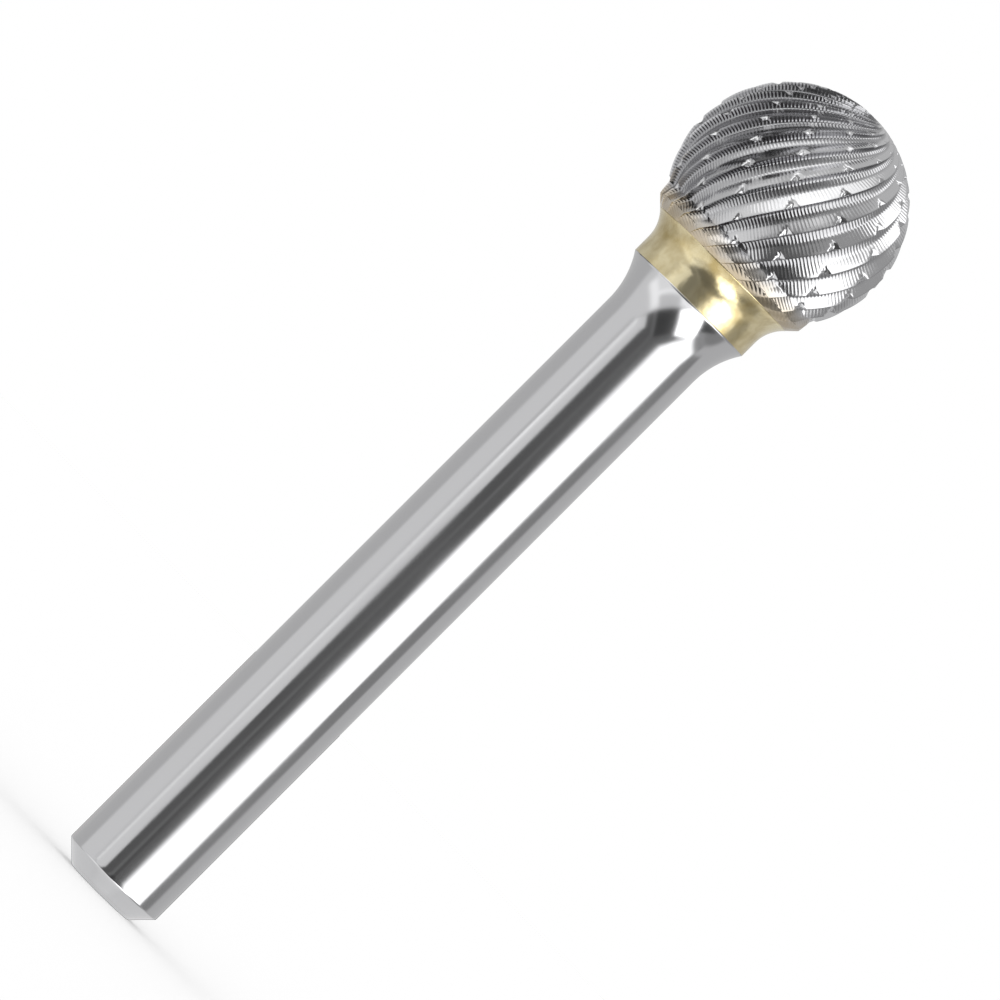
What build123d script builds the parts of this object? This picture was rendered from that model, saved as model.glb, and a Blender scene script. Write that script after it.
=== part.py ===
"""Rotary carbide burr: a fluted ball head brazed to a round steel shank.

Sizes are in millimetres. The burr stands on the flat end of its shank: the origin is the centre of
that end face and +Z runs along the turning axis to the tip of the ball.

Three pieces are brazed into one tool: the turned steel shank, the ring of brazing alloy that shows
between steel and head, and the ball of cemented carbide. The flutes are right-hand helices at a
constant angle to the axis, so seen from the shank the burr cuts while it turns clockwise.
"""
import os
from math import atanh, ceil, cos, degrees, hypot, radians, sin, sqrt, tan, tanh

from build123d import *

# Shank
overall_length = 55.2
shank_diameter = 6.0
tail_chamfer = 1.0
collar_diameter = 7.6
collar_flare_radius = 4.8

# Ball head
head_diameter = 12.3
tip_flat_diameter = 1.2
head_back_depth = 4.66
head_back_diameter = 8.9
back_bevel = 0.5
ball_start_depth = 3.45

# Right-hand cutting flutes, sawtooth in section
flute_count = 24
flute_angle = 33.8
flute_depth = 0.45
rake_face_share = 0.17
back_runout_depth = 0.05
first_edge_azimuth = -85.8
sections_per_pitch = 3

# Left-hand chip-breaker grooves, V-shaped in section
breaker_count = 12
breaker_angle = 32.6
breaker_width = 0.7
breaker_depth = 0.22
first_breaker_azimuth = -88.4

# Brazed joint
collar_land_length = 0.95
joint_flare_radius = 2.0
brazed_neck_diameter = 6.6
spigot_diameter = 3.0
spigot_length = 3.0
braze_film = 0.15

# Heights along the axis, worked out from the sizes above
shank_radius = shank_diameter / 2
collar_radius = collar_diameter / 2
head_radius = head_diameter / 2
tip_flat_radius = tip_flat_diameter / 2
head_back_radius = head_back_diameter / 2


def flare_length(flare_radius, small_radius, large_radius):
    """Axial length of a concave arc that leaves a cylinder tangentially and opens to a larger radius."""
    return sqrt(flare_radius**2 - (flare_radius - (large_radius - small_radius)) ** 2)


ball_centre = overall_length - sqrt(head_radius**2 - tip_flat_radius**2)
head_back = ball_centre - head_back_depth
bevel_top = head_back + back_bevel
bevel_top_radius = head_back_radius + back_bevel
ball_start = ball_centre - ball_start_depth
land_top = head_back - flare_length(joint_flare_radius, collar_radius, head_back_radius)
land_bottom = land_top - collar_land_length
flare_bottom = land_bottom - flare_length(collar_flare_radius, shank_radius, collar_radius)
shoulder = head_back - braze_film
spigot_radius = spigot_diameter / 2
spigot_top = shoulder + spigot_length
socket_radius = spigot_radius + braze_film
socket_top = spigot_top + braze_film


def flare_middle(flare_radius, bottom, small_radius, top):
    """Point half-way along the height of a concave flare that starts tangent to the axis direction."""
    height = (bottom + top) / 2
    reach = flare_radius - sqrt(flare_radius**2 - (height - bottom) ** 2)
    return small_radius + reach, height


# Shank: turned profile with the tail chamfer, the flared collar, the neck under the braze and the spigot
with BuildPart() as shank:
    with BuildSketch(Plane.XZ):
        with BuildLine():
            Polyline(
                (0, 0),
                (shank_radius - tail_chamfer, 0),
                (shank_radius, tail_chamfer),
                (shank_radius, flare_bottom),
            )
            ThreePointArc(
                (shank_radius, flare_bottom),
                flare_middle(collar_flare_radius, flare_bottom, shank_radius, land_bottom),
                (collar_radius, land_bottom),
            )
            Polyline(
                (collar_radius, land_bottom),
                (brazed_neck_diameter / 2, land_bottom),
                (brazed_neck_diameter / 2, shoulder),
                (spigot_radius, shoulder),
                (spigot_radius, spigot_top),
                (0, spigot_top),
                (0, 0),
            )
        make_face()
    revolve(axis=Axis.Z)
shank.part.label = "shank"

# Braze ring: the band that shows, the film on the shoulder and the film round and over the spigot
with BuildPart() as braze_ring:
    with BuildSketch(Plane.XZ):
        with BuildLine():
            Line((collar_radius, land_bottom), (collar_radius, land_top))
            ThreePointArc(
                (collar_radius, land_top),
                flare_middle(joint_flare_radius, land_top, collar_radius, head_back),
                (head_back_radius, head_back),
            )
            Polyline(
                (head_back_radius, head_back),
                (socket_radius, head_back),
                (socket_radius, socket_top),
                (0, socket_top),
                (0, spigot_top),
                (spigot_radius, spigot_top),
                (spigot_radius, shoulder),
                (brazed_neck_diameter / 2, shoulder),
                (brazed_neck_diameter / 2, land_bottom),
                (collar_radius, land_bottom),
            )
        make_face()
    revolve(axis=Axis.Z)
braze_ring.part.label = "braze_ring"


def helix_parameter(height):
    """Azimuth in radians that a helix at 45 degrees to the meridians turns through from the equator."""
    return atanh((height - ball_centre) / head_radius)


def height_at(parameter):
    """Height on the ball at which a helix reaches this parameter."""
    return ball_centre + head_radius * tanh(parameter)


def outline_radius(height):
    """Radius of the head over its cutting edges: back bevel, short cone, then the ball."""
    if height < bevel_top:
        return head_back_radius + height - head_back
    if height < ball_start:
        start_radius = sqrt(head_radius**2 - ball_start_depth**2)
        rise = (height - bevel_top) / (ball_start - bevel_top)
        return bevel_top_radius + rise * (start_radius - bevel_top_radius)
    return sqrt(head_radius**2 - (height - ball_centre) ** 2)


def on_circle(radius, azimuth):
    """Point in the plane of a section, from its radius and its azimuth in degrees."""
    return radius * cos(radians(azimuth)), radius * sin(radians(azimuth))


def flute_corners(height):
    """Sawtooth section: each cutting edge drops down a steep rake face, then a long back rises."""
    radius = outline_radius(height)
    full_depth = flute_depth * radius / head_radius
    cut_share = min(1, (height - head_back) / (ball_start - head_back))
    depth = back_runout_depth + cut_share * (full_depth - back_runout_depth)
    turn = degrees(tan(radians(flute_angle)) * helix_parameter(height))
    pitch = 360 / flute_count
    corners = []
    for flute in range(flute_count):
        edge = first_edge_azimuth + flute * pitch + turn
        corners.append(on_circle(radius, edge))
        corners.append(on_circle(radius - depth, edge + rake_face_share * pitch))
    return corners


def breaker_corners(height):
    """Triangle whose point is the bottom of one V groove and whose base is clear of the ball."""
    radius = outline_radius(height)
    scale = radius / head_radius
    depth = breaker_depth * scale * min(1, (height - bevel_top) / (ball_start - bevel_top))
    half_width = breaker_width * scale / 2 / cos(radians(breaker_angle))
    clear = breaker_depth * scale
    azimuth = first_breaker_azimuth - degrees(tan(radians(breaker_angle)) * helix_parameter(height))
    spread = half_width * (depth + clear) / (breaker_depth * scale)
    base_radius = hypot(radius + clear, spread)
    base_turn = degrees(spread / base_radius)
    return [
        on_circle(radius - depth, azimuth),
        on_circle(base_radius, azimuth + base_turn),
        on_circle(base_radius, azimuth - base_turn),
    ]


def section_heights(start, end, helix_angle):
    """Heights between which a helix turns by only a share of the flute pitch."""
    first = helix_parameter(start)
    last = helix_parameter(end)
    turn = degrees(tan(radians(helix_angle)) * (last - first))
    steps = ceil(turn * sections_per_pitch * flute_count / 360)
    return [height_at(first + (last - first) * step / steps) for step in range(steps + 1)]


# Cutter for one chip-breaker groove, lofted through triangles that turn the other way
with BuildPart() as breaker_cutter:
    for height in section_heights(bevel_top, overall_length, breaker_angle):
        with BuildSketch(Plane.XY.offset(height)):
            with BuildLine():
                Polyline(*breaker_corners(height), close=True)
            make_face()
    loft()

# Cutting head: ruled at the back, where the outline has corners, and smooth over the ball
with BuildPart() as cutting_head:
    back_heights = section_heights(head_back, bevel_top, flute_angle)
    back_heights += section_heights(bevel_top, ball_start, flute_angle)[1:]
    for height in back_heights:
        with BuildSketch(Plane.XY.offset(height)):
            with BuildLine():
                Polyline(*flute_corners(height), close=True)
            make_face()
    loft(ruled=True)
    for height in section_heights(ball_start, overall_length, flute_angle):
        with BuildSketch(Plane.XY.offset(height)):
            with BuildLine():
                Polyline(*flute_corners(height), close=True)
            make_face()
    loft()
    with PolarLocations(0, breaker_count):
        add(breaker_cutter.part, mode=Mode.SUBTRACT)
    with BuildSketch(Plane.XY.offset(head_back)):
        Circle(socket_radius)
    extrude(amount=socket_top - head_back, mode=Mode.SUBTRACT)
cutting_head.part.label = "cutting_head"

os.makedirs("parts", exist_ok=True)
for piece in (shank, braze_ring, cutting_head):
    export_step(piece.part, f"parts/{piece.part.label}.step")
    print(piece.part.label, "volume", round(piece.part.volume, 2), "mm3")
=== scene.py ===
# %% [markdown]
# # A carbide burr with a ball head
#
# A rotary burr is a small turned tool: a plain steel shank that a grinder's collet holds, a ring of
# brazing alloy, and a ball of cemented carbide with two families of grooves ground across each other.
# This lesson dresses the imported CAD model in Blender. Each visible piece is worked out with numpy as
# a surface of two parameters, and stands in for the CAD node of the same piece.

import bpy
import numpy as np
from mathutils import Matrix, Vector


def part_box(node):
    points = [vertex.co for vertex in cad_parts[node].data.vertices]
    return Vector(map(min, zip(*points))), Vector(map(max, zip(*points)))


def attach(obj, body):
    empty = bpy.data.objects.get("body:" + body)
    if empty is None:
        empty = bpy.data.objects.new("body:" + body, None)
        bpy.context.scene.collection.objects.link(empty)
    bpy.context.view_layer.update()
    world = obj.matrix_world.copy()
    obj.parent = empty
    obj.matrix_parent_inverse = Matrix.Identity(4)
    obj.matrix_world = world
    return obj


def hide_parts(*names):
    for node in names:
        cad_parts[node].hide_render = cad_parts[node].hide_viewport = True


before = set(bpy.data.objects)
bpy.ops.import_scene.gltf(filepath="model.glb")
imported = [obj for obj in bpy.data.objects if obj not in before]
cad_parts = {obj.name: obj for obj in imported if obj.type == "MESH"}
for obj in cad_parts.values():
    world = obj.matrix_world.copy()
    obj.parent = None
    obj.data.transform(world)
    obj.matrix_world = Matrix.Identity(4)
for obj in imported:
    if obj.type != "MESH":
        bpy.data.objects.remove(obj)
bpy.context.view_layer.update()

# %% [markdown]
# ## Sizes
#
# The boxes of the three CAD nodes say where the shank ends, where the braze sits and where the ball
# begins and stops, so those places are not measured twice. What a box cannot say, such as the radius
# of a hollow curve, is named here in millimetres.

# %% Places along the axis, in millimetres
MM = 0.001
shank_high = np.array(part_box("shank")[1]) / MM
braze_low, braze_high = (np.array(corner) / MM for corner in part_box("braze_ring"))
head_low, head_high = (np.array(corner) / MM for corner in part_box("cutting_head"))

land_bottom = braze_low[2]
socket_top = braze_high[2]
head_back = head_low[2]
tip_height = head_high[2]
spigot_top = shank_high[2]
collar_radius = shank_high[0]
back_radius = round(braze_high[0], 2)

SHANK_RADIUS = 3.0
TAIL_CHAMFER = 1.0
COLLAR_FLARE = 4.8
JOINT_FLARE = 2.0
NECK_RADIUS = 3.3
SPIGOT_RADIUS = 1.5
SOCKET_RADIUS = 1.65
FILM = SOCKET_RADIUS - SPIGOT_RADIUS
HEAD_RADIUS = 6.15
TIP_FLAT = 0.6
BACK_BEVEL = 0.5
BALL_START = 3.45

ball_centre = tip_height - np.sqrt(HEAD_RADIUS**2 - TIP_FLAT**2)
print(f"ball centre {ball_centre:.2f} mm and head back {head_back:.2f} mm above the tail face")

# %% [markdown]
# ## One helper for every mesh
#
# All three pieces end as a list of points and a list of faces that already look outwards. One helper
# turns those into a Blender object in metres and makes the piece ride on the burr's only body.

# %% A piece from points and faces
def add_piece(name, points, faces, material, node, slot_name):
    """Mesh object from points in millimetres, smooth-shaded, standing for one CAD node."""
    mesh = bpy.data.meshes.new(name)
    mesh.from_pydata((points * MM).tolist(), [], faces)
    mesh.validate()
    mesh.shade_smooth()
    mesh.materials.append(material)
    piece = bpy.data.objects.new(name, mesh)
    bpy.context.scene.collection.objects.link(piece)
    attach(piece, "root")
    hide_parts(node)
    triangles = sum(len(face) - 2 for face in faces)
    print(f"{name}: {len(points)} points, {triangles} triangles")
    return piece

# %% [markdown]
# ## Turned surfaces
#
# The shank and the braze ring came off a lathe and a cylindrical grinder, so each is a profile spun
# round the axis. Blender's Screw modifier would do it, but a grid of points from one profile and one
# circle is just as short and keeps the edges where they belong. A real corner is never quite sharp, so
# both corners of the tail's chamfer are tiny arcs, which catch a thin line of light.

# %% Profile corners as small arcs
ARC_STEPS = 5
FLARE_ROWS = 24


def rounded_corner(before, corner, after, radius):
    """Points of an arc of the given radius that touches both legs of a corner.

    The tangent length is the radius times the tangent of half the turn, and the centre lies on the
    bisector of the two legs."""
    into = (before - corner) / np.linalg.norm(before - corner)
    out = (after - corner) / np.linalg.norm(after - corner)
    half_angle = np.arccos(np.clip(into @ out, -1, 1)) / 2
    reach = radius / np.tan(half_angle)
    bisector = (into + out) / np.linalg.norm(into + out)
    centre = corner + bisector * radius / np.sin(half_angle)
    start = corner + into * reach - centre
    end = corner + out * reach - centre
    turn = np.pi - 2 * half_angle
    share = np.linspace(0, 1, ARC_STEPS + 1)[:, None]
    return centre + (np.sin((1 - share) * turn) * start + np.sin(share * turn) * end) / np.sin(turn)


def straight(start, end, spacing, inset):
    """Points strictly between two ends: one close to each end, the rest at an even spacing."""
    start, end = np.array(start, float), np.array(end, float)
    length = np.linalg.norm(end - start)
    count = max(2, int(length / spacing))
    places = np.linspace(inset, length - inset, count)
    return start + (end - start) * places[:, None] / length


def hollow_arc(radius, low, small, high):
    """Concave flare that leaves a cylinder tangentially: the circle's centre lies outside the metal,
    one radius away from the cylinder's wall, at the height where the flare starts."""
    heights = np.linspace(low, high, FLARE_ROWS)
    radii = small + radius - np.sqrt(radius**2 - (heights - low) ** 2)
    return np.column_stack([radii, heights])


def flare_length(radius, small, large):
    """Height that such a flare needs to open from the small radius to the large one."""
    return np.sqrt(radius**2 - (radius - (large - small)) ** 2)


def spun(profile, segments, closed_ring):
    """Points and faces of a profile of (radius, height) rows spun once round the axis.

    Row i and segment k give the point (r cos a, r sin a, z). A solid's profile starts and ends on
    the axis, where each ring is one point; a ring's profile joins its own start."""
    turn = np.linspace(0, 2 * np.pi, segments, endpoint=False)
    inner = profile if closed_ring else profile[1:-1]
    radii, heights = inner[:, :1], inner[:, 1:]
    points = np.stack([radii * np.cos(turn), radii * np.sin(turn), heights + 0 * turn], axis=-1)
    index = np.arange(points.shape[0] * segments).reshape(points.shape[0], segments)
    if closed_ring:
        index = np.vstack([index, index[:1]])
    right = np.roll(index, -1, axis=1)
    quads = np.stack([index[:-1], right[:-1], right[1:], index[1:]], axis=-1).reshape(-1, 4).tolist()
    points = points.reshape(-1, 3)
    if closed_ring:
        return points, quads
    bottom, top = len(points), len(points) + 1
    ends = np.array([[0, 0, profile[0, 1]], [0, 0, profile[-1, 1]]])
    fans = [[bottom, int(b), int(a)] for a, b in zip(index[0], right[0])]
    fans += [[top, int(a), int(b)] for a, b in zip(index[-1], right[-1])]
    return np.vstack([points, ends]), quads + fans


print(f"corner arcs have {ARC_STEPS} steps and flares {FLARE_ROWS} rows")

# %% [markdown]
# ## Metal finishes
#
# Bare metal is almost all reflection, so its look comes from three things: how much light it gives
# back, how rough it is, and the small marks left by the last machining step. On a metallic Principled
# shader, Base Color and Roughness say the first two. The marks are bump and roughness patterns on
# Object coordinates, which sit still on the piece.


# %% Node helpers
NOISE_ROUGHNESS = 0.6


def node(tree, kind, inputs=None, **settings):
    """One shader node with its settings and its input values or links."""
    made = tree.nodes.new(kind)
    for key, value in settings.items():
        setattr(made, key, value)
    for key, value in (inputs or {}).items():
        if isinstance(value, bpy.types.NodeSocket):
            tree.links.new(value, made.inputs[key])
        else:
            made.inputs[key].default_value = value
    return made


def metal(name, colour):
    """Material with a fully metallic Principled shader; returns it, its tree and its shader."""
    material = bpy.data.materials.new(name)
    material.use_nodes = True
    tree = material.node_tree
    shader = tree.nodes["Principled BSDF"]
    shader.inputs["Base Color"].default_value = colour
    shader.inputs["Metallic"].default_value = 1.0
    return material, tree, shader


def place(tree, scale):
    """Object coordinates, stretched by a scale for each axis."""
    where = node(tree, "ShaderNodeTexCoord").outputs["Object"]
    return node(tree, "ShaderNodeMapping", {"Vector": where, "Scale": scale}).outputs["Vector"]


def grain(tree, scale, detail):
    """Noise at Object coordinates that a scale for each axis, in waves per metre, has stretched."""
    return node(
        tree,
        "ShaderNodeTexNoise",
        {"Vector": place(tree, scale), "Scale": 1.0, "Detail": detail, "Roughness": NOISE_ROUGHNESS},
    ).outputs["Fac"]


def spread(tree, value, low, high, in_low=0.0, in_high=1.0):
    """A value carried from one range to another, clamped."""
    return node(
        tree,
        "ShaderNodeMapRange",
        {"Value": value, "From Min": in_low, "From Max": in_high, "To Min": low, "To Max": high},
    ).outputs["Result"]


def times(tree, first, second):
    """Product of two values."""
    return node(tree, "ShaderNodeMath", {0: first, 1: second}, operation="MULTIPLY").outputs[0]


def blend(tree, share, under, over):
    """Colour that goes from the one under to the one over as the share goes from 0 to 1."""
    inputs = {"Factor": share, "A": under, "B": over}
    return node(tree, "ShaderNodeMix", inputs, data_type="RGBA").outputs[2]


def bumps(tree, height, distance, strength, under=None):
    """Bump from a height pattern whose full step is the given distance in metres."""
    inputs = {"Height": height, "Distance": distance, "Strength": strength}
    if under is not None:
        inputs["Normal"] = under
    return node(tree, "ShaderNodeBump", inputs).outputs["Normal"]


# %% Ground steel
def ground_steel():
    """Bright steel, ground round and round: the marks are rings, so the noise is fine along the axis
    and almost constant round it. Broad faint clouds change the gloss a little."""
    material, tree, shader = metal("ground_steel", (0.60, 0.60, 0.61, 1))
    rings = grain(tree, (60, 60, 30000), 3)
    clouds = grain(tree, (400, 400, 90), 2)
    tree.links.new(spread(tree, clouds, 0.11, 0.19, 0.35, 0.65), shader.inputs["Roughness"])
    tree.links.new(bumps(tree, rings, 2e-7, 0.5), shader.inputs["Normal"])
    return material


steel = ground_steel()
print("made", steel.name)

# %% [markdown]
# ## Shank
#
# The shank is a ground pin with a chamfered tail. Towards the head it opens in a hollow flare to a
# collar, where the braze begins. Under the braze it steps in to a neck, a flat shoulder and a short
# spigot that centres the head. The last three never show, but they are part of the piece.

# %% Shank profile and piece
EDGE_ROUND = 0.12
SEGMENTS = 288


def shank_profile():
    """Closed profile from the axis at the tail to the axis on top of the spigot."""
    flare_bottom = land_bottom - flare_length(COLLAR_FLARE, SHANK_RADIUS, collar_radius)
    axis = np.array([0.0, 0.0])
    face_edge = np.array([SHANK_RADIUS - TAIL_CHAMFER, 0.0])
    chamfer_top = np.array([SHANK_RADIUS, TAIL_CHAMFER])
    wall_top = np.array([SHANK_RADIUS, flare_bottom])
    shoulder = head_back - FILM
    return np.vstack(
        [
            axis,
            straight((0.05, 0), face_edge - (2 * EDGE_ROUND, 0), 0.4, 0.02),
            rounded_corner(axis, face_edge, chamfer_top, EDGE_ROUND),
            straight(face_edge, chamfer_top, 0.2, 0.3),
            rounded_corner(face_edge, chamfer_top, wall_top, EDGE_ROUND),
            straight(chamfer_top, wall_top, 1.5, 0.25),
            hollow_arc(COLLAR_FLARE, flare_bottom, SHANK_RADIUS, land_bottom),
            [NECK_RADIUS, land_bottom],
            [NECK_RADIUS, shoulder],
            [SPIGOT_RADIUS, shoulder],
            [SPIGOT_RADIUS, spigot_top],
            [0.0, spigot_top],
        ]
    )


shank = add_piece("shank_ground", *spun(shank_profile(), SEGMENTS, False), steel, "shank", "steel")

# %% [markdown]
# ## Braze ring
#
# Brass-coloured alloy fills the joint and is ground to one smooth hollow curve with it. It is softer
# than its neighbours, so its surface keeps shallow dents, and heat has left brown clouds in it.

# %% Brazing alloy
def brazing_alloy():
    """Pale brass with brown clouds, fine grinding marks round the ring and shallow dents."""
    brown, pale = (0.42, 0.33, 0.15, 1), (0.72, 0.64, 0.42, 1)
    material, tree, shader = metal("brazing_alloy", pale)
    stains = grain(tree, (500, 500, 420), 4)
    tint = node(tree, "ShaderNodeValToRGB", {"Fac": stains})
    for stop, position, colour in zip(tint.color_ramp.elements, (0.32, 0.62), (brown, pale)):
        stop.position = position
        stop.color = colour
    tree.links.new(tint.outputs["Color"], shader.inputs["Base Color"])
    tree.links.new(spread(tree, stains, 0.26, 0.15, 0.3, 0.7), shader.inputs["Roughness"])
    shader.inputs["Metallic"].default_value = 0.92
    scratches = grain(tree, (600, 600, 9000), 3)
    dents = grain(tree, (900, 900, 900), 2)
    soft = bumps(tree, dents, 2.5e-5, 0.8)
    tree.links.new(bumps(tree, scratches, 1e-6, 0.8, soft), shader.inputs["Normal"])
    return material


# %% Braze ring piece
def braze_profile():
    """Closed loop: up the land and the hollow flare, across under the head, and back down the neck."""
    land_top = head_back - flare_length(JOINT_FLARE, collar_radius, back_radius)
    return np.vstack(
        [
            [NECK_RADIUS, land_bottom],
            [collar_radius, land_bottom],
            straight((collar_radius, land_bottom), (collar_radius, land_top), 0.12, 0.02),
            hollow_arc(JOINT_FLARE, land_top, collar_radius, head_back),
            [SOCKET_RADIUS, head_back],
            [SOCKET_RADIUS, head_back - FILM],
            [NECK_RADIUS, head_back - FILM],
        ]
    )


alloy = brazing_alloy()
braze = add_piece("braze_band", *spun(braze_profile(), SEGMENTS, True), alloy, "braze_ring", "braze")

# %% [markdown]
# ## Cutting head
#
# The head is the hard part of this lesson. A burr's flutes run at a constant angle to the meridians
# of the ball, as a compass course does on the globe. Mercator's map turns such a course into a
# straight line: with longitude across and the stretched latitude up, all 24 flutes are parallel
# lines. So the grid is drawn on Mercator's map and then wrapped on the ball.
#
# Each flute is one strip of the grid, from its own cutting edge to the next. Its columns follow the
# edge, close together where the rake face drops and the bottom is round. Its rows cross the flute
# almost at a right angle, as the fine ribs of the ground surface do: three rows make one rib. The
# strips meet at the cutting edges, where the ribs of two flutes need not agree, so a seam of triangles
# zips the last column of one strip to the first of the next.
#
# Across a flute the tooth is a saw: a steep rake face under the edge, a flat bottom, a round inner
# corner and a straight back that climbs to the next edge. The table of the tooth form says it in
# shares, from one edge to the next.

# %% Tooth form
FLUTES = 24
FLUTE_ANGLE = np.radians(33.8)
FLUTE_DEPTH = 0.43
FIRST_EDGE = np.radians(-85.8)
# Each row is one column of the grid: its share of the pitch, its share of the flute's depth, how much
# of a rib it shows, how far that rib goes sideways instead, and how much its grey is darkened, for
# painted shade in the flute bottom and partly a duller ground surface
TOOTH_FORM = np.array(
    [
        (0.00, 0.000, 0.10, 0.00, 0.40),
        (0.03, 0.350, 0.20, 0.60, 1.00),
        (0.06, 0.660, 0.30, 0.65, 1.00),
        (0.095, 0.880, 0.45, 0.50, 0.95),
        (0.14, 0.975, 0.55, 0.25, 0.75),
        (0.20, 1.000, 0.60, 0.00, 0.60),
        (0.35, 1.000, 0.58, 0.00, 0.55),
        (0.42, 0.988, 0.50, 0.00, 0.50),
        (0.50, 0.929, 0.42, 0.00, 0.35),
        (0.58, 0.813, 0.36, 0.00, 0.12),
        (0.66, 0.664, 0.33, 0.00, 0.00),
        (0.82, 0.350, 0.29, 0.00, 0.00),
        (0.89, 0.213, 0.26, 0.00, 0.00),
        (0.95, 0.096, 0.20, 0.00, 0.00),
    ]
)
COLUMN_SHARE, COLUMN_DEPTH, COLUMN_RIB, COLUMN_SIDE, COLUMN_DULL_AND_SHADE = TOOTH_FORM.T
ENTRY_SLOPE = 2.2

BREAKERS = 12
BREAKER_ANGLE = np.radians(32.6)
BREAKER_WIDTH = 0.7
BREAKER_DEPTH = 0.25
BREAKER_ENTRY_SLOPE = 2
FIRST_BREAKER = np.radians(-88.4)

RIB_PITCH = 0.19
RIB_DEPTH = 0.032
RIB_LEAN = np.radians(29.0)
ROWS_PER_RIB = 3
RIB_ENTRY_SLOPE = 3
RIB_TIP_SLOPE = 2.5
RIB_SEED = 7
print(f"{FLUTES} flutes with {len(COLUMN_SHARE)} columns each")


# %% Ball outline
OUTLINE_STEPS = 4000


def head_outline(latitude):
    """Radius, height and outward direction of the head's outline over its cutting edges.

    On the ball the radius is R cos(latitude) and the height R sin(latitude). Behind it the outline is
    a short cone and a 45 degree bevel, read at the same heights."""
    fine = np.linspace(np.arcsin((head_back - ball_centre) / HEAD_RADIUS), np.pi / 2, OUTLINE_STEPS)
    height = HEAD_RADIUS * np.sin(fine)
    start_radius = np.sqrt(HEAD_RADIUS**2 - BALL_START**2)
    bevel_top = head_back - ball_centre + BACK_BEVEL
    cone = np.interp(height, [bevel_top, -BALL_START], [back_radius + BACK_BEVEL, start_radius])
    bevel = back_radius + height - (head_back - ball_centre)
    radius = HEAD_RADIUS * np.cos(fine)
    radius = np.where(height < -BALL_START, np.minimum(cone, bevel), radius)
    slope_r, slope_z = np.gradient(radius, fine), np.gradient(height, fine)
    length = np.hypot(slope_r, slope_z)
    columns = [radius, height, slope_z / length, -slope_r / length]
    return [np.interp(latitude, fine, column) for column in columns]


def stretched(latitude):
    """Mercator's ordinate of a latitude: the inverse hyperbolic tangent of its sine."""
    return np.arctanh(np.sin(latitude))


def surface_depth(longitude, ordinate, share_depth, rib):
    """Depth of the ground surface under the outline.

    The flute's share of its full depth is scaled by the cosine of the latitude, as its width is, and
    runs out towards the back. Ribs fade at the back and at the tip only. A breaker is a V: its depth
    falls off with the distance from its centre line, measured on the map, so it narrows towards the
    tip as a flute does. The deeper of flute and breaker counts."""
    cosine = 1 / np.cosh(ordinate)
    height = ball_centre + HEAD_RADIUS * np.tanh(ordinate)
    entry = np.clip((height - head_back) / (HEAD_RADIUS - BALL_START) * ENTRY_SLOPE, 0, 1)
    rib_share = np.minimum(entry * RIB_ENTRY_SLOPE, cosine * RIB_TIP_SLOPE).clip(0, 1)
    flute = FLUTE_DEPTH * cosine * entry * share_depth + rib * rib_share
    spacing = 2 * np.pi / BREAKERS
    offset = longitude + np.tan(BREAKER_ANGLE) * ordinate - FIRST_BREAKER
    offset = (offset + spacing / 2) % spacing - spacing / 2
    across = np.abs(offset) * np.cos(BREAKER_ANGLE) * HEAD_RADIUS
    groove = BREAKER_DEPTH * cosine * (1 - across / (BREAKER_WIDTH / 2))
    groove = groove * np.clip((height - head_back - BACK_BEVEL) * BREAKER_ENTRY_SLOPE, 0, 1)
    return np.maximum(flute, groove)


# %% Grid of one flute after another
def flute_grid():
    """Points of all strips as an array (flute, row, column, 3), each point's ordinate, and three
    ordinates: of the back, of the tip, and the fall of a row from its last column to the next edge.

    Along the cutting edge the rows stand a third of a rib apart, measured on the ball: a step of
    arc s along the course changes the latitude by s cos(angle) / R. A row falls to the right at the
    lean of the ribs. So where it meets the course a longitude d to the right of the edge, it is lower
    on the map by d tan(lean) / (1 + tan(lean) tan(angle)).
    On the steep rake face a rib cannot go deeper, so there it goes sideways into the tooth.
    Points past the back or the tip are held at those borders."""
    rng = np.random.default_rng(RIB_SEED)
    low = stretched(np.arcsin((head_back - ball_centre) / HEAD_RADIUS))
    high = stretched(np.arccos(TIP_FLAT / HEAD_RADIUS))
    pitch = 2 * np.pi / FLUTES
    shear = np.tan(RIB_LEAN) / (1 + np.tan(RIB_LEAN) * np.tan(FLUTE_ANGLE)) * pitch
    step = RIB_PITCH / ROWS_PER_RIB * np.cos(FLUTE_ANGLE) / HEAD_RADIUS
    first = np.arcsin(np.tanh(low)) - ROWS_PER_RIB * step
    last = np.arcsin(np.tanh(high + shear)) + step
    latitudes = np.arange(first, last + step, step)[None, :]
    latitudes = latitudes + rng.uniform(0, ROWS_PER_RIB, (FLUTES, 1)) * step
    latitudes = np.minimum(latitudes, np.arcsin(np.tanh(high + 2 * shear)))
    phase = (np.arange(latitudes.shape[1]) % ROWS_PER_RIB) / ROWS_PER_RIB
    rib = RIB_DEPTH * (1 - 4 * (phase - 0.5) ** 2)[None, :, None]
    share = COLUMN_SHARE - COLUMN_SIDE * rib / (HEAD_RADIUS * pitch * np.cos(FLUTE_ANGLE))
    ordinate = stretched(latitudes)[:, :, None] - share * shear
    ordinate = np.clip(ordinate, low, high)
    edge = FIRST_EDGE + np.arange(FLUTES)[:, None, None] * pitch
    longitude = edge + np.tan(FLUTE_ANGLE) * ordinate + share * pitch
    depth = surface_depth(longitude, ordinate, COLUMN_DEPTH, rib * COLUMN_RIB)
    radius, height, out_r, out_z = head_outline(np.arcsin(np.tanh(ordinate)))
    radius = radius - depth * out_r
    height = ball_centre + height - depth * out_z
    points = np.stack([radius * np.cos(longitude), radius * np.sin(longitude), height], axis=-1)
    return points, ordinate, (low, high, (1 - COLUMN_SHARE[-1]) * shear)


grid, ordinates, borders = flute_grid()
print("grid of (flute, row, column):", grid.shape[:3])


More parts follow.
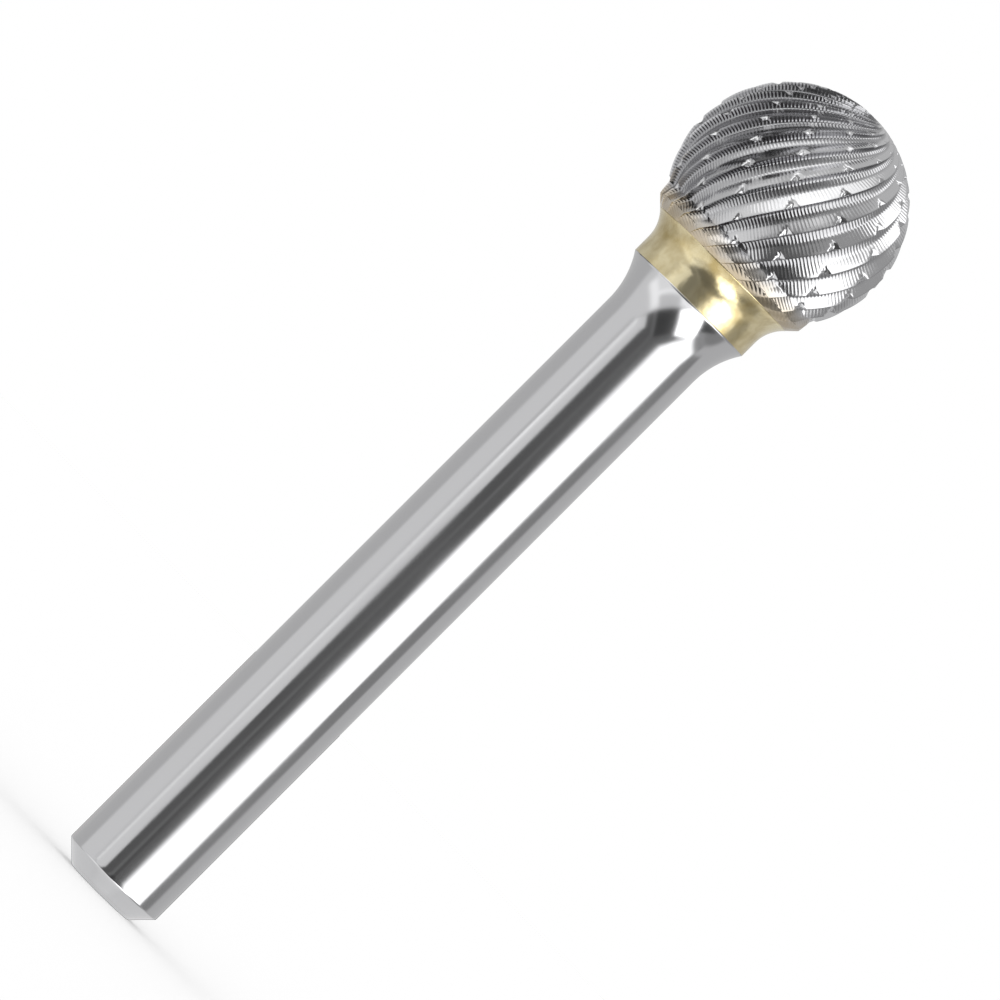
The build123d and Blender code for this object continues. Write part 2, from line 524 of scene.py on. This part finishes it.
# %% Faces of the strips and the seams between them
def strip_faces(index):
    """Two triangles for each cell of every strip."""
    a, b = index[:, :-1, :-1], index[:, :-1, 1:]
    c, d = index[:, 1:, 1:], index[:, 1:, :-1]
    halves = [np.stack([a, b, c], -1), np.stack([a, c, d], -1)]
    return np.concatenate([half.reshape(-1, 3) for half in halves])


def seam_faces(left, right, left_key, right_key):
    """Triangles between two columns whose rows do not match.

    Walking both columns upwards in the order of their keys, every new point closes a triangle with
    the point before it and with the last point passed on the other column."""
    reached = np.clip(np.searchsorted(right_key, left_key[1:], side="right") - 1, 0, None)
    passed = np.clip(np.searchsorted(left_key, right_key[1:], side="left") - 1, 0, None)
    left_triangles = np.stack([left[:-1], right[reached], left[1:]], -1)
    right_triangles = np.stack([left[passed], right[:-1], right[1:]], -1)
    return np.concatenate([left_triangles, right_triangles])


def ring_faces(lower, upper):
    """Triangles between two closed rings with the same number of points."""
    a, b = lower, np.roll(lower, -1)
    d, c = upper, np.roll(upper, -1)
    return np.concatenate([np.stack([a, b, c], -1), np.stack([a, c, d], -1)])


def held_index():
    """Index of every grid point, where all the points of a column that are held at one border become
    the one of them that lies next to the rest of the column."""
    low, high, _ = borders
    flutes, rows, columns = ordinates.shape
    index = np.arange(flutes * rows * columns).reshape(flutes, rows, columns)
    held_low = (ordinates <= low).sum(axis=1, keepdims=True) - 1
    held_high = rows - (ordinates >= high).sum(axis=1, keepdims=True)
    row = np.clip(np.arange(rows)[None, :, None], held_low, held_high)
    return np.take_along_axis(index, row, axis=1)


def socket_and_tip(points, rim, tip_rim):
    """Points and triangles that close the head: the socket in its back and the flat on its tip."""
    turn = np.arctan2(points[rim, 1], points[rim, 0])
    mouth = np.column_stack([SOCKET_RADIUS * np.cos(turn), SOCKET_RADIUS * np.sin(turn)])
    count = len(rim)
    extra = np.vstack(
        [
            np.column_stack([mouth, np.full(count, head_back)]),
            np.column_stack([mouth, np.full(count, socket_top)]),
            [[0, 0, socket_top], [0, 0, tip_height]],
        ]
    )
    mouth_ring = len(points) + np.arange(count)
    floor_ring = mouth_ring + count
    socket_pole, tip_pole = len(points) + 2 * count, len(points) + 2 * count + 1
    faces = [
        ring_faces(mouth_ring, rim),
        ring_faces(floor_ring, mouth_ring),
        ring_faces(np.full(count, socket_pole), floor_ring),
        ring_faces(tip_rim, np.full(count, tip_pole)),
    ]
    return extra, faces


def head_mesh():
    """Points and triangles of the closed head, and the grid place that each point had."""
    lift = borders[2]
    index = held_index()
    following = np.roll(np.arange(FLUTES), -1)
    faces = [strip_faces(index)]
    for flute, after in enumerate(following):
        left, right = index[flute, :, -1], index[after, :, 0]
        faces.append(seam_faces(left, right, ordinates[flute, :, -1], ordinates[after, :, 0] + lift))
    points = grid.reshape(-1, 3)
    extra, closing = socket_and_tip(points, index[:, 0, :].reshape(-1), index[:, -1, :].reshape(-1))
    faces = np.concatenate(faces + closing)
    a, b, c = faces.T
    faces = faces[(a != b) & (b != c) & (a != c)]
    points = np.vstack([points, extra])
    used, faces = np.unique(faces, return_inverse=True)
    return points[used], faces.reshape(-1, 3), used


head_points, head_faces, kept = head_mesh()
print(f"head: {len(head_points)} points, {len(head_faces)} triangles")

# %% [markdown]
# Smooth shading would blur the crisp lines of a ground tooth. Two families of edges are marked sharp:
# the cutting edges, and the crest of every rib. Between them the shading stays smooth. The flute
# bottoms get a darker grey than the backs of the teeth: painted shade in the hollows of the teeth,
# and partly a duller ground surface. How much darker is a guess. Each point carries its own share.

# %% Sharp edges and flute bottoms darkened with painted shade
def grid_places():
    """For each point of the head: whether it lies on the grid, and its flute, row and column there."""
    on_grid = kept < ordinates.size
    places = np.unravel_index(np.minimum(kept, ordinates.size - 1), ordinates.shape)
    return on_grid, *places


def mark_sharp(mesh):
    """Marks an edge sharp where both of its points lie on one cutting edge or on one rib crest."""
    on_grid, flute, row, column = grid_places()
    edge_line = np.where(on_grid & (column == 0), flute, -1)
    crest_line = np.where(on_grid & (row % ROWS_PER_RIB == 0), flute * ordinates.shape[1] + row, -1)
    ends = np.empty(len(mesh.edges) * 2, np.int32)
    mesh.edges.foreach_get("vertices", ends)
    first, second = ends.reshape(-1, 2).T
    sharp = (edge_line[first] >= 0) & (edge_line[first] == edge_line[second])
    sharp |= (crest_line[first] >= 0) & (crest_line[first] == crest_line[second])
    mesh.attributes.new("sharp_edge", "BOOLEAN", "EDGE").data.foreach_set("value", sharp)
    print("sharp edges:", int(sharp.sum()))


def mark_dull_and_shade(mesh):
    """Writes each point's darkening, which the carbide's colour reads: painted shade in the flute
    bottoms, and partly a duller ground surface.
    """
    on_grid, _, _, column = grid_places()
    dull_and_shade_level = np.where(on_grid, COLUMN_DULL_AND_SHADE[column], 0).astype(np.float32)
    mesh.attributes.new("dull_and_shade", "FLOAT", "POINT").data.foreach_set("value", dull_and_shade_level)
    print("dull points:", int((dull_and_shade_level > 0).sum()))


# %% Cemented carbide
STAIN_SHIFT = 0.0012
STAIN_BELOW = 0.0005
STAIN_ABOVE = 0.0007


def cemented_carbide():
    """Grey metal, diamond-ground: nearly a mirror on each facet, a little browned beside the braze.

    The brown fades out with the height above the braze, and noise shifts that border up and down."""
    bright, dark, browned = (0.66, 0.66, 0.67, 1), (0.27, 0.27, 0.28, 1), (0.50, 0.42, 0.30, 1)
    material, tree, shader = metal("cemented_carbide", bright)
    # Darker grey in the flute bottoms: painted shade in the hollows of the teeth, partly a duller surface
    dull_and_shade = node(tree, "ShaderNodeAttribute", attribute_name="dull_and_shade").outputs["Fac"]
    where = node(tree, "ShaderNodeTexCoord").outputs["Object"]
    height = node(tree, "ShaderNodeSeparateXYZ", {"Vector": where}).outputs["Z"]
    shift = times(tree, grain(tree, (700, 700, 700), 3), STAIN_SHIFT)
    near = node(tree, "ShaderNodeMath", {0: height, 1: shift}, operation="SUBTRACT").outputs[0]
    stain = spread(tree, near, 1.0, 0.0, head_back * MM - STAIN_BELOW, head_back * MM + STAIN_ABOVE)
    colour = blend(tree, stain, blend(tree, dull_and_shade, bright, dark), browned)
    tree.links.new(colour, shader.inputs["Base Color"])
    clouds = grain(tree, (900, 900, 900), 2)
    tree.links.new(spread(tree, clouds, 0.12, 0.22, 0.35, 0.65), shader.inputs["Roughness"])
    return material


carbide = cemented_carbide()
head = add_piece("ball_head", head_points, head_faces.tolist(), carbide, "cutting_head", "carbide")
mark_sharp(head.data)
mark_dull_and_shade(head.data)

# %% [markdown]
# ## Studio
#
# A mirror-like part shows the room around it, so the room is the real light here. The world holds
# soft patches, much as a light tent does: white panels to the right, a dark gap where the camera
# looks in, and pale walls. Their places and levels were set until the bands on the metal looked
# right, and in another room the bands would differ. Later patches lie over earlier ones. Only
# reflections see the patches. The camera sees plain white, and the floor gets an even light.


# %% World patches
ROLL = np.radians(45)
ROOT_HALF = np.sqrt(0.5)
WALL_LEVEL = 0.62
FILL_LEVEL = 0.9


def direction_angles(tree):
    """Azimuth from the camera's side, positive to the right, and elevation, both in degrees.

    The studio stands upright in the picture, and the burr leans in it: turning the direction by 45
    degrees about the line of sight gives the studio's own left, right, up and down."""
    where = node(
        tree,
        "ShaderNodeVectorRotate",
        {"Vector": node(tree, "ShaderNodeTexCoord").outputs["Generated"], "Angle": ROLL},
        rotation_type="Y_AXIS",
    ).outputs["Vector"]
    parts = node(tree, "ShaderNodeSeparateXYZ", {"Vector": where})
    front = times(tree, parts.outputs["Y"], -1.0)
    around = node(tree, "ShaderNodeMath", {0: parts.outputs["X"], 1: front}, operation="ARCTAN2")
    up = node(tree, "ShaderNodeMath", {0: parts.outputs["Z"]}, operation="ARCSINE")
    return [
        node(tree, "ShaderNodeMath", {0: angle.outputs[0]}, operation="DEGREES").outputs[0]
        for angle in (around, up)
    ]


def soft_step(tree, value, zero, one):
    """0 at one place and 1 at the other, with a smooth step between the two."""
    return node(
        tree,
        "ShaderNodeMapRange",
        {"Value": value, "From Min": zero, "From Max": one},
        interpolation_type="SMOOTHSTEP",
    ).outputs["Result"]


def between(tree, value, low, high, soft):
    """1 inside a range and 0 outside, with smooth steps of the given width."""
    rise = soft_step(tree, value, low - soft / 2, low + soft / 2)
    fall = soft_step(tree, value, high + soft / 2, high - soft / 2)
    return times(tree, rise, fall)


def grey(level):
    """An even grey of one level."""
    return (level, level, level, 1)


# Each patch: azimuth from and to, elevation from and to and softness, all in degrees, and its level
PATCHES = [
    (-181, -100, -72, 0, 8, 0.85),
    (-100, -37, -62, 71, 8, 0.88),
    (-86, -46, -72, 12, 8, 1.35),
    (-62, -44, -30, 0, 6, 0.80),
    (-90, -68, -34, 0, 6, 1.10),
    (-181, -142, 36, 84, 8, 0.12),
    (-146, -110, 54, 84, 6, 0.15),
    (-96, -26, 66, 75, 5, 0.85),
    (-181, 181, -91, -74, 8, 0.30),
    (-42, 80, -74, -62, 8, 0.35),
    (-42, 1, -91, 3, 7, 0.05),
    (-42, 1, 3, 31, 7, 0.12),
    (-24, 2, 30, 66, 6, 0.34),
    (-48, -21, 33, 50, 5, 0.70),
    (-56, -8, 53, 68, 4, 1.60),
    (-1, 16, -40, 20, 6, 0.14),
    (12, 68, 3, 54, 6, 0.38),
    (0, 36, 42, 52, 5, 1.00),
    (15, 64, -60, 4, 8, 2.10),
    (15, 74, -60, -26, 6, 2.10),
    (0, 16, -62, -38, 6, 0.70),
    (75, 120, -38, 7, 6, 0.42),
    (74, 111, -60, -38, 6, 0.30),
    (73, 113, 9, 33, 6, 2.00),
    (-8, 36, 54, 74, 5, 2.00),
    (36, 106, 56, 72, 5, 1.40),
    (-10, 92, 77, 91, 6, 1.20),
]


def studio_world():
    """World whose reflections show the patches, whose camera rays are white and whose fill is even."""
    world = bpy.data.worlds.new("studio")
    world.use_nodes = True
    tree = world.node_tree
    tree.nodes.clear()
    azimuth, elevation = direction_angles(tree)
    colour = grey(WALL_LEVEL)
    for left, right, bottom, top, soft, level in PATCHES:
        wide = between(tree, azimuth, left, right, soft)
        high = between(tree, elevation, bottom, top, soft)
        colour = blend(tree, times(tree, wide, high), colour, grey(level))
    room, fill, white = (
        node(tree, "ShaderNodeBackground", {"Color": shown, "Strength": strength}).outputs[0]
        for shown, strength in ((colour, 1.0), (grey(1.0), FILL_LEVEL), (grey(1.0), 1.0))
    )
    ray = node(tree, "ShaderNodeLightPath").outputs
    lit = node(tree, "ShaderNodeMixShader", {0: ray["Is Glossy Ray"], 1: fill, 2: room}).outputs[0]
    seen = node(tree, "ShaderNodeMixShader", {0: ray["Is Camera Ray"], 1: lit, 2: white}).outputs[0]
    node(tree, "ShaderNodeOutputWorld", {"Surface": seen})
    bpy.context.scene.world = world
    print("studio patches:", len(PATCHES))


studio_world()

# %% [markdown]
# Four more panels are area lamps, linked to the pieces that they light: two to the shank and the
# braze, and two to the braze alone. A real lamp would light the ball too. They are there for the look
# of the bands on the turned pieces, and a scene that keeps to what a studio can do leaves them out.


# %% Panels for the turned pieces
PANEL_DISTANCE = 3.0


def add_panel(name, azimuth, elevation, width, height, level, lit):
    """Area lamp seen from the burr at the given studio angles, in degrees.

    Its side is twice the distance times the tangent of half the angle, and its power four times
    its area for each unit of the level, which is the brightness that a mirror would show."""
    turn, rise = np.radians(azimuth), np.radians(elevation)
    right, front, up = np.sin(turn) * np.cos(rise), np.cos(turn) * np.cos(rise), np.sin(rise)
    away = Vector(((right - up) * ROOT_HALF, -front, (right + up) * ROOT_HALF))
    data = bpy.data.lights.new(name, "AREA")
    data.shape = "RECTANGLE"
    data.size = 2 * PANEL_DISTANCE * np.tan(np.radians(width) / 2)
    data.size_y = 2 * PANEL_DISTANCE * np.tan(np.radians(height) / 2)
    data.energy = 4 * data.size * data.size_y * level
    panel = bpy.data.objects.new(name, data)
    bpy.context.scene.collection.objects.link(panel)
    side = away.cross(Vector((-ROOT_HALF, 0, ROOT_HALF))).normalized()
    axes = Matrix((side, away.cross(side), away)).transposed()
    panel.matrix_world = Matrix.Translation(away * PANEL_DISTANCE) @ axes.to_4x4()
    panel.light_linking.receiver_collection = lit
    print(f"{name}: {data.size:.2f} by {data.size_y:.2f} m")


def lit_pieces(name, *pieces):
    """Collection of the pieces that a panel lights."""
    collection = bpy.data.collections.new(name)
    for piece in pieces:
        collection.objects.link(piece)
    return collection


turned = lit_pieces("turned_pieces", shank, braze)
gilded = lit_pieces("braze_only", braze)
add_panel("left_panel", -30, 25.5, 20, 18, 0.62, turned)
add_panel("low_panel", -18, -49, 36, 32, 2.6, turned)
add_panel("glint_panel", -14, -50, 18, 24, 2.5, gilded)
add_panel("side_panel", 40, -28, 30, 26, 2.5, gilded)

# %% [markdown]
# ## Floor
#
# The burr stands on its tail face, on a plain floor as white as the background. The floor keeps
# nothing but the burr's own shadow, which is soft because the light on it comes from all round.

# %% Floor
FLOOR_HALF = 0.6


def add_floor():
    """Large plate at the height of the tail face. It only keeps the burr's shadow: through it the
    camera sees the white world, and reflections see the patches."""
    half = FLOOR_HALF
    mesh = bpy.data.meshes.new("floor")
    corners = [(-half, -half, 0), (half, -half, 0), (half, half, 0), (-half, half, 0)]
    mesh.from_pydata(corners, [], [(0, 1, 2, 3)])
    floor = bpy.data.objects.new("floor", mesh)
    bpy.context.scene.collection.objects.link(floor)
    floor.is_shadow_catcher = True
    floor.visible_glossy = False
    floor.visible_shadow = False
    print(f"floor {2 * half:.1f} m wide, at the height of the tail face")


add_floor()

# %% [markdown]
# ## Camera
#
# The burr is seen square to its axis with a long lens, so its sides stay parallel. The camera is
# rolled by 45 degrees about its own line of sight, and the burr then rises from the lower left to the
# upper right of the picture.

# %% Long-lens camera, rolled
PIXELS_PER_MM = 19.83
PICTURE_SIDE = 1000
SENSOR_WIDTH = 36
DISTANCE = 0.6
AIM = (0.31, 28.24)


def add_camera():
    """Camera on the -Y side. Its right is the sum and its up the difference of +Z and +X, over root 2."""
    data = bpy.data.cameras.new("camera")
    data.sensor_width = SENSOR_WIDTH
    data.lens = SENSOR_WIDTH * DISTANCE / (PICTURE_SIDE / PIXELS_PER_MM * MM)
    data.clip_start = 0.01
    data.clip_end = 5
    camera = bpy.data.objects.new("camera", data)
    bpy.context.scene.collection.objects.link(camera)
    axes = Matrix(((ROOT_HALF, -ROOT_HALF, 0), (0, 0, -1), (ROOT_HALF, ROOT_HALF, 0)))
    stand = Vector((AIM[0] * MM, -DISTANCE, AIM[1] * MM))
    camera.matrix_world = Matrix.Translation(stand) @ axes.to_4x4()
    bpy.context.scene.camera = camera
    print(f"lens {data.lens:.0f} mm at {DISTANCE} m")


add_camera()
bpy.context.scene.view_settings.view_transform = "Standard"
